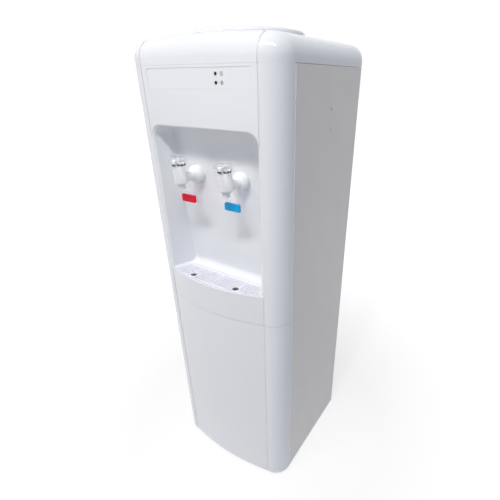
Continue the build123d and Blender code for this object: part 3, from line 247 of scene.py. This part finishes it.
def clear_plastic(slot, tint):
    """Clear moulding with flow lines and handled edges, which lets the lamps through."""
    finish = Finish(slot, Transmission_Weight=0.94, IOR=1.06, Coat_Weight=0.7, Alpha=0.4)
    path = finish.add("ShaderNodeLightPath")
    see = finish.add("ShaderNodeBsdfTransparent")
    see.inputs["Color"].default_value = (0.985, 0.985, 0.99, 1.0)
    mix = finish.add("ShaderNodeMixShader")
    finish.join(path.outputs["Is Shadow Ray"], mix.inputs["Fac"])
    finish.join(finish.shader.outputs["BSDF"], mix.inputs[1])
    finish.join(see.outputs["BSDF"], mix.inputs[2])
    finish.join(mix.outputs["Shader"], finish.tree.nodes["Material Output"].inputs["Surface"])
    normal, edge = finish.rounded(EDGE_ROUND / 2)
    finish.colour(finish.blend(finish.noise(60.0, 2.0), tint, shade(tint, 0.94)))
    finish.rough(finish.math("ADD", finish.spread(finish.noise(120.0), 0.3, 0.7, 0.03, 0.09),
                             finish.math("MULTIPLY", edge, 0.15)))
    finish.bump(finish.noise(140.0, 1.0), 0.12, 0.0005, normal)
    return finish.material


def metal(slot, colour, roughness, grain=(1.0, 1.0, 1.0), scale=400.0, tarnish=0.75):
    """Bare metal: drawn or brushed grain and patches of tarnish."""
    finish = Finish(slot, Metallic=1.0)
    normal, _ = finish.rounded(EDGE_ROUND / 3)
    line = finish.noise(scale, 3.0, finish.stretched(grain))
    patch = finish.spread(finish.noise(25.0, 5.0), 0.4, 0.75, 0.0, 1.0)
    finish.colour(finish.blend(patch, colour, shade(colour, tarnish)))
    finish.rough(finish.spread(line, 0.3, 0.7, roughness - 0.07, roughness + 0.09))
    finish.bump(line, 0.05, 0.0003, normal)
    return finish.material


def galvanised(slot, colour):
    """Zinc coated sheet with its crystal spangle."""
    finish = Finish(slot, Metallic=0.85)
    normal, _ = finish.rounded(EDGE_ROUND / 2)
    crystal = finish.cells(85.0, output="Color")
    tone = finish.add("ShaderNodeRGBToBW")
    finish.join(crystal, tone.inputs["Color"])
    spangle = finish.spread(tone.outputs["Val"], 0.1, 0.9, 0.0, 1.0)
    sheet = finish.blend(spangle, shade(colour, 0.86), shade(colour, 1.08))
    patch = finish.spread(finish.noise(40.0, 4.0), 0.3, 0.7, 0.1, 0.4)
    # only dust here, on faces that point up; no shade is painted
    dust_and_shade = finish.math("MULTIPLY", finish.facing_up(), patch)
    finish.colour(finish.blend(dust_and_shade, sheet, (0.42, 0.40, 0.37)))
    finish.rough(finish.spread(spangle, 0.0, 1.0, 0.36, 0.52))
    finish.bump(finish.noise(300.0), 0.04, 0.0004, normal)
    return finish.material


def enamel(slot, colour, roughness):
    """Black enamel with dust on what faces up."""
    finish = Finish(slot)
    normal, edge = finish.rounded(EDGE_ROUND / 2)
    patch = finish.spread(finish.noise(55.0, 5.0), 0.35, 0.7, 0.0, 0.35)
    # only dust here, on faces that point up; no shade is painted
    dust_and_shade = finish.math("MULTIPLY", finish.facing_up(), patch)
    coat = finish.blend(finish.math("MULTIPLY", edge, 0.4), colour, shade(colour, 4.0))
    finish.colour(finish.blend(dust_and_shade, coat, (0.30, 0.28, 0.25)))
    finish.rough(finish.spread(finish.noise(45.0, 3.0), 0.3, 0.7, roughness - 0.06, roughness + 0.12))
    finish.bump(finish.noise(420.0), 0.10, 0.0004, normal)
    return finish.material


def rubber(slot, colour, roughness):
    """Moulded rubber: fine skin and paler rubbed patches."""
    finish = Finish(slot)
    normal, edge = finish.rounded(EDGE_ROUND)
    rubbed = finish.spread(finish.noise(90.0, 4.0), 0.4, 0.7, 0.0, 0.6)
    finish.colour(finish.blend(finish.math("MAXIMUM", rubbed, edge), colour, shade(colour, 1.5)))
    finish.rough(finish.spread(finish.noise(200.0), 0.3, 0.7, roughness - 0.1, roughness + 0.1))
    finish.bump(finish.noise(1500.0), 0.15, 0.0003, normal)
    return finish.material


def foam(slot, colour):
    """Expanded foam: beads pressed together."""
    finish = Finish(slot)
    bead = finish.cells(260.0)
    finish.colour(finish.blend(finish.spread(bead, 0.0, 0.8, 0.0, 1.0), colour, shade(colour, 0.82)))
    finish.rough(finish.spread(bead, 0.0, 0.8, 0.8, 0.95))
    finish.bump(bead, 0.5, 0.0015)
    return finish.material


def circuit_board(slot, colour):
    """Lacquered board with copper tracks under the lacquer."""
    finish = Finish(slot, Coat_Weight=0.4)
    track = finish.spread(finish.cells(220.0, "DISTANCE_TO_EDGE"), 0.04, 0.06, 1.0, 0.0)
    finish.colour(finish.blend(track, colour, shade(colour, 2.2)))
    finish.rough(finish.spread(track, 0.0, 1.0, 0.45, 0.3))
    finish.bump(track, 0.2, 0.0001)
    return finish.material


WHITE = (0.86, 0.87, 0.895)
# crease_shade is how much shade is painted into the seams of a moulded finish
FINISHES = {
    "white_gloss": lambda slot: moulded(slot, WHITE, 0.16, crease_shade=0.1),
    "white_satin": lambda slot: moulded(slot, (0.86, 0.865, 0.945), 0.30, crease_shade=0.35),
    "tap_white": lambda slot: moulded(
        slot, (0.865, 0.87, 0.885), 0.34, wave=0.05, crease_shade=0.08, Specular_IOR_Level=0.22,
    ),
    "clear_plastic": lambda slot: clear_plastic(slot, (0.97, 0.985, 1.0)),
    "spring_steel": lambda slot: metal(slot, (0.62, 0.62, 0.64), 0.28),
    "stem_plastic": lambda slot: moulded(slot, (0.80, 0.80, 0.80), 0.40),
    "silicone": lambda slot: moulded(slot, (0.80, 0.82, 0.82), 0.48, Subsurface_Weight=0.3),
    "tab_red": lambda slot: moulded(slot, (0.93, 0.004, 0.035), 0.32, crease_shade=0.15, Specular_IOR_Level=0.2),
    "tab_blue": lambda slot: moulded(slot, (0.006, 0.42, 0.88), 0.32, crease_shade=0.15, Specular_IOR_Level=0.2),
    "nut_plastic": lambda slot: moulded(slot, (0.78, 0.78, 0.77), 0.42),
    "lamp_red": lambda slot: moulded(slot, (0.07, 0.004, 0.012), 0.25, Specular_IOR_Level=0.3),
    "lamp_green": lambda slot: moulded(slot, (0.005, 0.028, 0.018), 0.25, Specular_IOR_Level=0.3),
    "board": lambda slot: circuit_board(slot, (0.03, 0.16, 0.07)),
    "side_paint": lambda slot: powder_coat(slot, (0.85, 0.81, 0.77), 0.36),
    "screw_chrome": lambda slot: metal(slot, (0.34, 0.34, 0.36), 0.34),
    "zinc_sheet": lambda slot: galvanised(slot, (0.60, 0.62, 0.64)),
    "black_rubber": lambda slot: rubber(slot, (0.022, 0.022, 0.023), 0.72),
    "seal_rubber": lambda slot: rubber(slot, (0.55, 0.55, 0.54), 0.6),
    "stainless": lambda slot: metal(slot, (0.66, 0.66, 0.67), 0.26, (1.0, 1.0, 30.0), 30.0, 0.9),
    "foam": lambda slot: foam(slot, (0.86, 0.84, 0.76)),
    "copper": lambda slot: metal(slot, (0.78, 0.40, 0.25), 0.24, (8.0, 8.0, 1.0), 60.0, 0.6),
    "pipe_plastic": lambda slot: moulded(slot, (0.80, 0.81, 0.81), 0.35, Subsurface_Weight=0.2),
    "cap_plastic": lambda slot: moulded(slot, (0.030, 0.030, 0.032), 0.38),
    "black_paint": lambda slot: enamel(slot, (0.016, 0.016, 0.017), 0.34),
    "switch_red": lambda slot: moulded(slot, (0.45, 0.012, 0.012), 0.22, Coat_Weight=0.3),
    "switch_green": lambda slot: moulded(slot, (0.012, 0.22, 0.045), 0.22, Coat_Weight=0.3),
}
materials = {slot: make(slot) for slot, make in FINISHES.items()}
for name, node in nodes.items():
    node.data.materials.clear()
    node.data.materials.append(materials[slot_of[name]])


def add_piece(name, build, body, slot, *stands_for):
    """A mesh piece made by a builder; it rides on a body and takes a slot's finish."""
    shape = bmesh.new()
    build(shape)
    bmesh.ops.recalc_face_normals(shape, faces=shape.faces)
    mesh = bpy.data.meshes.new(name)
    shape.to_mesh(mesh)
    shape.free()
    mesh.materials.append(materials[slot])
    mesh.shade_smooth()
    mesh.set_sharp_from_angle(angle=SMOOTH_ANGLE)
    obj = bpy.data.objects.new(name, mesh)
    bpy.context.scene.collection.objects.link(obj)
    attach(obj, body)
    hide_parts(*stands_for)
    return obj


def placed(origin, across, out):
    """Local (across, up, out) to the shared frame."""
    across, out = Vector(across), Vector(out)
    turn = Matrix((across, out.cross(across), out)).transposed()
    return Matrix.Translation(origin) @ turn.to_4x4()


def skin(shape, rings):
    """Faces between rings of points, with caps on the two ends."""
    rows = [[shape.verts.new(point) for point in ring] for ring in rings]
    count = len(rows[0])
    for low, high in zip(rows, rows[1:]):
        for k in range(count):
            after = (k + 1) % count
            shape.faces.new((low[k], low[after], high[after], high[k]))
    shape.faces.new(rows[0])
    shape.faces.new(rows[-1])


def sweep(shape, path, radius, sides=8):
    """Round bar along a path of points."""
    rings = []
    for i, point in enumerate(path):
        ahead = (path[min(i + 1, len(path) - 1)] - path[max(i - 1, 0)]).normalized()
        across = ahead.cross(Vector((0.03, 0.02, 1.0))).normalized()
        rise = across.cross(ahead)
        turns = [2 * math.pi * k / sides for k in range(sides)]
        rings.append([point + radius * (across * math.cos(a) + rise * math.sin(a)) for a in turns])
    skin(shape, rings)


def rounded_outline(width, height, radius, steps=6):
    """Corner-rounded rectangle as (u, v) points."""
    points = []
    for quarter, (sx, sy) in enumerate(((1, 1), (-1, 1), (-1, -1), (1, -1))):
        for k in range(steps + 1):
            a = math.pi / 2 * (quarter + k / steps)
            points.append((sx * (width / 2 - radius) + radius * math.cos(a),
                           sy * (height / 2 - radius) + radius * math.sin(a)))
    return points


def slab(shape, place, width, height, corner, depth, ease):
    """Plate with rounded corners and an eased front edge."""
    levels = ((0.0, 0.0), (depth - ease, 0.0), (depth - 0.3 * ease, 0.3 * ease), (depth, ease))
    rings = []
    for level, draw in levels:
        outline = rounded_outline(width - 2 * draw, height - 2 * draw, max(corner - draw, 0.2 * corner))
        rings.append([place @ Vector((u, v, level)) for u, v in outline])
    skin(shape, rings)


def screw_head(shape, place, radius, height, slot_half, slot_reach):
    """Domed head with a cross recess, as rings of a fine polar net."""
    rings = []
    for row in range(SCREW_ROWS):
        share = 1 - row / SCREW_ROWS
        ring = []
        for k in range(SCREW_SIDES):
            a = 2 * math.pi * k / SCREW_SIDES
            u, v = share * radius * math.cos(a), share * radius * math.sin(a)
            level = height * (1 - share**SCREW_DOME_POWER)
            if min(abs(u), abs(v)) < slot_half and max(abs(u), abs(v)) < slot_reach:
                level -= SCREW_SLOT_DEPTH * height
            ring.append(place @ Vector((u, v, level)))
        rings.append(ring)
    skin(shape, rings)


def coil(shape, x, y, low, high, radius, wire, turns):
    """Helical spring with closed end turns."""
    count = int(COIL_STEPS * turns)
    path = []
    for k in range(count + 1):
        share = k / count
        rise = min(max((share * turns - 1) / (turns - 2), 0.0), 1.0)
        a = 2 * math.pi * share * turns
        z = low + wire * 1.05 + (high - low - wire * 2.1) * rise
        path.append(Vector((x + radius * math.cos(a), y + radius * math.sin(a), z)))
    sweep(shape, path, wire)


def broken_ring(shape, x, y, low, high, inner, outer, teeth, gap_half):
    """Castellated ring round a tap's bonnet, open at the front for the lever's lug."""
    span = 2 * (math.pi - gap_half)
    start = -math.pi / 2 + gap_half
    step = span / (2 * teeth - 1)
    for tooth in range(2 * teeth - 1):
        top = high if tooth % 2 == 0 else low + TOOTH_ROOT * (high - low)
        rings = []
        for k in range(TOOTH_STEPS + 1):
            a = start + step * (tooth + k / TOOTH_STEPS)
            out = Vector((math.cos(a), math.sin(a), 0.0))
            middle = Vector((x, y, 0.0))
            rings.append([
                middle + out * inner + Vector((0, 0, low)), middle + out * outer + Vector((0, 0, low)),
                middle + out * outer + Vector((0, 0, top)), middle + out * inner + Vector((0, 0, top)),
            ])
        skin(shape, rings)


def tap_ring(shape, x):
    """Castellated ring, and the clip that carries it across the front of the lug."""
    broken_ring(shape, x, TAP_Y, RING_LOW, RING_HIGH, RING_INNER, RING_OUTER, RING_TEETH, RING_GAP_HALF)
    clip = placed((x, LUG_FRONT, (RING_LOW + RING_HIGH) / 2), (1, 0, 0), (0, -1, 0))
    slab(shape, clip, CLIP_WIDTH, RING_HIGH - RING_LOW, CLIP_CORNER, CLIP_DEPTH, CLIP_EASE)


def neck_boss(shape, x):
    """Hollow curve that leads from the flange's dome on to the tap's neck."""
    rings = []
    for k in range(BOSS_STEPS + 1):
        a = math.pi / 2 * k / BOSS_STEPS
        y = NOSE_Y - BOSS_LENGTH * (1 - math.cos(a))
        radius = BOSS_NECK + (BOSS_NOSE - BOSS_NECK) * (1 - math.sin(a))
        turns = [2 * math.pi * j / BOSS_SIDES for j in range(BOSS_SIDES)]
        rings.append([Vector((x + radius * math.cos(b), y, TAP_Z + radius * math.sin(b))) for b in turns])
    skin(shape, rings)


# Taps: wound springs, castellated rings and bosses on the necks
TAP_X, TAP_Y, TAP_Z = 0.0515, -0.1385, 0.7115
NOSE_Y = -0.1083
BOSS_NOSE, BOSS_NECK, BOSS_LENGTH = 0.0117, 0.0082, 0.011
BOSS_STEPS, BOSS_SIDES = 10, 48
SPRING_LOW, SPRING_HIGH = 0.7121, 0.7309
SPRING_RADIUS, SPRING_WIRE, SPRING_TURNS = 0.0046, 0.00055, 7.5
RING_LOW, RING_HIGH = 0.7351, 0.7378
RING_INNER, RING_OUTER = 0.0097, 0.0111
RING_TEETH = 9
RING_GAP_HALF = 0.52  # radians on each side of the lug
LUG_FRONT = -0.1511
CLIP_WIDTH, CLIP_DEPTH = 0.0086, 0.0005
CLIP_CORNER, CLIP_EASE = 0.0004, 0.0002
for kind, tap_x in (("hot", -TAP_X), ("cold", TAP_X)):
    spring = add_piece(
        f"{kind}_coil",
        lambda shape: coil(
            shape, tap_x, TAP_Y, SPRING_LOW, SPRING_HIGH, SPRING_RADIUS, SPRING_WIRE, SPRING_TURNS,
        ),
        "housing", "spring_steel", f"{kind}_tap_spring",
    )
    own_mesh(spring)
    add_piece(f"{kind}_ring", lambda shape: tap_ring(shape, tap_x), "housing", "cap_plastic")
    add_piece(f"{kind}_boss", lambda shape: neck_boss(shape, tap_x), "housing", "tap_white")


# Screws: cross heads in the steel sides and round the rear sheet
HALF_WIDTH = 0.155
SIDE_SCREW_Y, SIDE_SCREW_LEVELS = 0.0305, (0.823, 0.7905)
SIDE_HEAD = {"radius": 0.0024, "height": 0.0014, "slot_half": 0.0003, "slot_reach": 0.0013}
REAR_SCREW_X, REAR_SHEET_Y = 0.128, 0.134
REAR_SCREW_LEVELS = (0.872, 0.66, 0.45, 0.246)
REAR_HEAD = {"radius": 0.0034, "height": 0.0019, "slot_half": 0.00042, "slot_reach": 0.0019}


def side_heads(shape):
    for hand in (-1, 1):
        for z in SIDE_SCREW_LEVELS:
            place = placed((hand * HALF_WIDTH, SIDE_SCREW_Y, z), (0, hand, 0), (hand, 0, 0))
            screw_head(shape, place, **SIDE_HEAD)


def rear_heads(shape):
    for x in (-REAR_SCREW_X, REAR_SCREW_X):
        for z in REAR_SCREW_LEVELS:
            place = placed((x, REAR_SHEET_Y, z), (-1, 0, 0), (0, 1, 0))
            screw_head(shape, place, **REAR_HEAD)


add_piece("side_screw_heads", side_heads, "housing", "screw_chrome", "side_screws")
add_piece("rear_screw_heads", rear_heads, "housing", "screw_chrome")


# Beads that close the seams: beside the steel sides, under the cover and round the inlaid plate
FRONT_Y, JOINT_Y = -0.133, -0.0923
JOINT_LEVELS = (0.0095, 0.3, 0.6, 0.8865)
CORNER_RADIUS, CORNER_STEPS = 0.038, 14
GROOVE_X, GROOVE_HALF = 0.118, 0.001
COVER_SEAM_Z = 0.8877
SIDE_BEAD, COVER_BEAD = 0.001, 0.0005
SIDE_BEAD_SINK, COVER_BEAD_SINK = 0.0002, 0.0003
PLATE_WIDTH, PLATE_HEIGHT, PLATE_CORNER, PLATE_Z = 0.2118, 0.0288, 0.0029, 0.869
PLATE_BEAD, PLATE_BEAD_Y = 0.0003, -0.13278


def joint_beads(shape):
    for hand in (-1, 1):
        path = [Vector((hand * (HALF_WIDTH - SIDE_BEAD_SINK), JOINT_Y, z)) for z in JOINT_LEVELS]
        sweep(shape, path, SIDE_BEAD)


def cover_bead(shape):
    """Bars along the pillars' corners and the flat front, which stop at the grooves."""
    flat = GROOVE_X - GROOVE_HALF
    line = [Vector((x, FRONT_Y + COVER_BEAD_SINK, COVER_SEAM_Z)) for x in (-flat, 0.0, flat)]
    sweep(shape, line, COVER_BEAD)
    reach = CORNER_RADIUS - COVER_BEAD_SINK
    centre_x, centre_y = HALF_WIDTH - CORNER_RADIUS, FRONT_Y + CORNER_RADIUS
    start = math.asin((GROOVE_X + GROOVE_HALF - centre_x) / reach)
    for hand in (-1, 1):
        path = []
        for k in range(CORNER_STEPS + 1):
            a = start + (math.pi / 2 - start) * k / CORNER_STEPS
            x, y = centre_x + reach * math.sin(a), centre_y - reach * math.cos(a)
            path.append(Vector((hand * x, y, COVER_SEAM_Z)))
        path.append(Vector((hand * (centre_x + reach), JOINT_Y, COVER_SEAM_Z)))
        sweep(shape, path, COVER_BEAD)


def plate_bead(shape):
    outline = rounded_outline(PLATE_WIDTH, PLATE_HEIGHT, PLATE_CORNER)
    path = [Vector((u, PLATE_BEAD_Y, PLATE_Z + v)) for u, v in outline]
    sweep(shape, path + path[:1], PLATE_BEAD)


add_piece("joint_beads", joint_beads, "housing", "tap_white")
add_piece("cover_bead", cover_bead, "housing", "white_gloss")
add_piece("plate_bead", plate_bead, "housing", "white_gloss")


# Signs on the inlaid plate: steam for hot, a flake for cold
SIGN_X, SIGN_Y = 0.0535, -0.13272
SIGN_SIDES = 6
STEAM_LOW, STEAM_HEIGHT = 0.8722, 0.0056
STEAM_PITCH, STEAM_SWING, STEAM_LINE, STEAM_STEPS = 0.0019, 0.0005, 0.00028, 12
FLAKE_Z = 0.863
FLAKE_ARM, FLAKE_ARM_LINE = (0.0002, 0.0016, 0.0031), 0.00026
FLAKE_FORK, FLAKE_TWIG, FLAKE_TWIG_LINE = 0.0018, (0.0, 0.0006, 0.0012), 0.00022
FLAKE_TURN = 0.9  # radians between an arm and its twigs


def steam_sign(shape):
    for lane in (-1, 0, 1):
        path = []
        for k in range(STEAM_STEPS + 1):
            share = k / STEAM_STEPS
            x = SIGN_X + STEAM_PITCH * lane + STEAM_SWING * math.sin(2 * math.pi * share)
            path.append(Vector((x, SIGN_Y, STEAM_LOW + STEAM_HEIGHT * share)))
        sweep(shape, path, STEAM_LINE, SIGN_SIDES)


def flake_sign(shape):
    middle = Vector((SIGN_X, SIGN_Y, FLAKE_Z))
    for arm in range(6):
        a = math.pi * arm / 3
        out = Vector((math.cos(a), 0.0, math.sin(a)))
        sweep(shape, [middle + reach * out for reach in FLAKE_ARM], FLAKE_ARM_LINE, SIGN_SIDES)
        for turn in (-FLAKE_TURN, FLAKE_TURN):
            side = Vector((math.cos(a + turn), 0.0, math.sin(a + turn)))
            root = middle + FLAKE_FORK * out
            sweep(shape, [root + reach * side for reach in FLAKE_TWIG], FLAKE_TWIG_LINE, SIGN_SIDES)


add_piece("steam_sign", steam_sign, "housing", "cap_plastic")
add_piece("flake_sign", flake_sign, "housing", "cap_plastic")


# Rear: the cover over the compressor's terminals, and its clip
TERMINAL_X, TERMINAL_Z = 0.006, 0.088
TERMINAL_COVER_Y, TERMINAL_CLIP_Y = 0.098, 0.1215
TERMINAL_COVER = {"width": 0.046, "height": 0.044, "corner": 0.006, "depth": 0.024, "ease": 0.004}
TERMINAL_CLIP = {"width": 0.034, "height": 0.006, "corner": 0.002, "depth": 0.0016, "ease": 0.0006}


def terminal_cover(shape):
    for y, sizes in ((TERMINAL_COVER_Y, TERMINAL_COVER), (TERMINAL_CLIP_Y, TERMINAL_CLIP)):
        slab(shape, placed((TERMINAL_X, y, TERMINAL_Z), (-1, 0, 0), (0, 1, 0)), **sizes)


add_piece("terminal_cover", terminal_cover, "housing", "cap_plastic")


def aimed(place, target):
    """Turn that points an object's -Z from a place at a target."""
    return (Vector(target) - Vector(place)).to_track_quat("-Z", "Y").to_euler()


def lamp(name, place, target, size, power, colour):
    """Area lamp of a width and a height, pointed at a target."""
    data = bpy.data.lights.new(name, "AREA")
    data.shape = "ELLIPSE"
    data.size, data.size_y = size
    data.energy = power
    data.color = colour
    obj = bpy.data.objects.new(name, data)
    obj.location = place
    obj.rotation_euler = aimed(place, target)
    bpy.context.scene.collection.objects.link(obj)


def seen_rays(tree):
    """1 for the rays that show the background: camera, mirror and see-through ones."""
    path = tree.nodes.new("ShaderNodeLightPath")
    first = tree.nodes.new("ShaderNodeMath")
    second = tree.nodes.new("ShaderNodeMath")
    first.operation = second.operation = "MAXIMUM"
    tree.links.new(path.outputs["Is Camera Ray"], first.inputs[0])
    tree.links.new(path.outputs["Is Glossy Ray"], first.inputs[1])
    tree.links.new(first.outputs[0], second.inputs[0])
    tree.links.new(path.outputs["Is Transmission Ray"], second.inputs[1])
    return second.outputs[0]


def make_world():
    world = bpy.data.worlds.new("studio")
    bpy.context.scene.world = world
    world.use_nodes = True
    tree = world.node_tree
    output = tree.nodes["World Output"]
    soft = tree.nodes["Background"]
    way = tree.nodes.new("ShaderNodeTexCoord")
    split = tree.nodes.new("ShaderNodeSeparateXYZ")
    tree.links.new(way.outputs["Generated"], split.inputs[0])
    across = tree.nodes.new("ShaderNodeMapRange")
    across.inputs["From Min"].default_value = -1.0
    tree.links.new(split.outputs["X"], across.inputs["Value"])
    tint = tree.nodes.new("ShaderNodeValToRGB")
    stops = tint.color_ramp.elements
    stops[0].color = (*AMBIENT_LEFT, 1.0)
    stops[1].color = (*AMBIENT_RIGHT, 1.0)
    stops.new(FRONT_STOP).color = (*AMBIENT_FRONT, 1.0)
    stops.new(SLANT_STOP).color = (*AMBIENT_SLANT, 1.0)
    tree.links.new(across.outputs["Result"], tint.inputs["Fac"])
    overhead = tree.nodes.new("ShaderNodeMapRange")
    overhead.inputs["To Min"].default_value = AMBIENT
    overhead.inputs["To Max"].default_value = AMBIENT * ZENITH
    tree.links.new(split.outputs["Z"], overhead.inputs["Value"])
    tree.links.new(overhead.outputs["Result"], soft.inputs["Strength"])
    tree.links.new(tint.outputs["Color"], soft.inputs["Color"])
    white = tree.nodes.new("ShaderNodeBackground")
    white.inputs["Color"].default_value = (1.0, 1.0, 1.0, 1.0)
    mix = tree.nodes.new("ShaderNodeMixShader")
    tree.links.new(seen_rays(tree), mix.inputs["Fac"])
    tree.links.new(soft.outputs[0], mix.inputs[1])
    tree.links.new(white.outputs[0], mix.inputs[2])
    tree.links.new(mix.outputs[0], output.inputs["Surface"])


def make_floor():
    mesh = bpy.data.meshes.new("floor")
    corners = [(x * FLOOR_HALF, y * FLOOR_HALF, 0) for x, y in ((-1, -1), (1, -1), (1, 1), (-1, 1))]
    mesh.from_pydata(corners, [], [(0, 1, 2, 3)])
    material = bpy.data.materials.new("floor")
    material.use_nodes = True
    tree = material.node_tree
    tree.nodes.remove(tree.nodes["Principled BSDF"])
    plain = tree.nodes.new("ShaderNodeBsdfDiffuse")
    plain.inputs["Color"].default_value = (FLOOR_PLAIN, FLOOR_PLAIN, FLOOR_PLAIN, 1.0)
    shaded = tree.nodes.new("ShaderNodeBsdfDiffuse")
    shaded.inputs["Color"].default_value = (FLOOR_SHADE, FLOOR_SHADE, FLOOR_SHADE, 1.0)
    glow = tree.nodes.new("ShaderNodeEmission")
    place = tree.nodes.new("ShaderNodeNewGeometry")
    reach = tree.nodes.new("ShaderNodeVectorMath")
    reach.operation = "LENGTH"
    tree.links.new(place.outputs["Position"], reach.inputs[0])
    fade = tree.nodes.new("ShaderNodeMapRange")
    fade.inputs["From Min"].default_value = FLOOR_NEAR
    fade.inputs["From Max"].default_value = FLOOR_FAR
    fade.inputs["To Min"].default_value = FLOOR_GLOW
    tree.links.new(reach.outputs["Value"], fade.inputs["Value"])
    tree.links.new(fade.outputs["Result"], glow.inputs["Strength"])
    both = tree.nodes.new("ShaderNodeAddShader")
    mix = tree.nodes.new("ShaderNodeMixShader")
    tree.links.new(shaded.outputs[0], both.inputs[0])
    tree.links.new(glow.outputs[0], both.inputs[1])
    tree.links.new(seen_rays(tree), mix.inputs["Fac"])
    tree.links.new(plain.outputs[0], mix.inputs[1])
    tree.links.new(both.outputs[0], mix.inputs[2])
    tree.links.new(mix.outputs[0], tree.nodes["Material Output"].inputs["Surface"])
    mesh.materials.append(material)
    floor = bpy.data.objects.new("floor", mesh)
    bpy.context.scene.collection.objects.link(floor)


def make_camera():
    data = bpy.data.cameras.new("camera")
    data.sensor_width = CAMERA_SENSOR
    data.lens = CAMERA_LENS
    data.shift_x, data.shift_y = CAMERA_SHIFT
    data.clip_start = 0.01
    camera = bpy.data.objects.new("camera", data)
    camera.location = CAMERA_PLACE
    camera.rotation_euler = (math.pi / 2 - CAMERA_PITCH, 0.0, CAMERA_YAW)
    bpy.context.scene.collection.objects.link(camera)
    bpy.context.scene.camera = camera


make_camera()
make_world()
make_floor()
lamp("key", KEY_PLACE, KEY_TARGET, KEY_SIZE, KEY_POWER, KEY_COLOUR)
lamp("strip", KEY_PLACE, KEY_TARGET, STRIP_SIZE, STRIP_POWER, KEY_COLOUR)
lamp("fill", FILL_PLACE, FILL_TARGET, FILL_SIZE, FILL_POWER, FILL_COLOUR)

bpy.context.scene.view_settings.view_transform = "Standard"
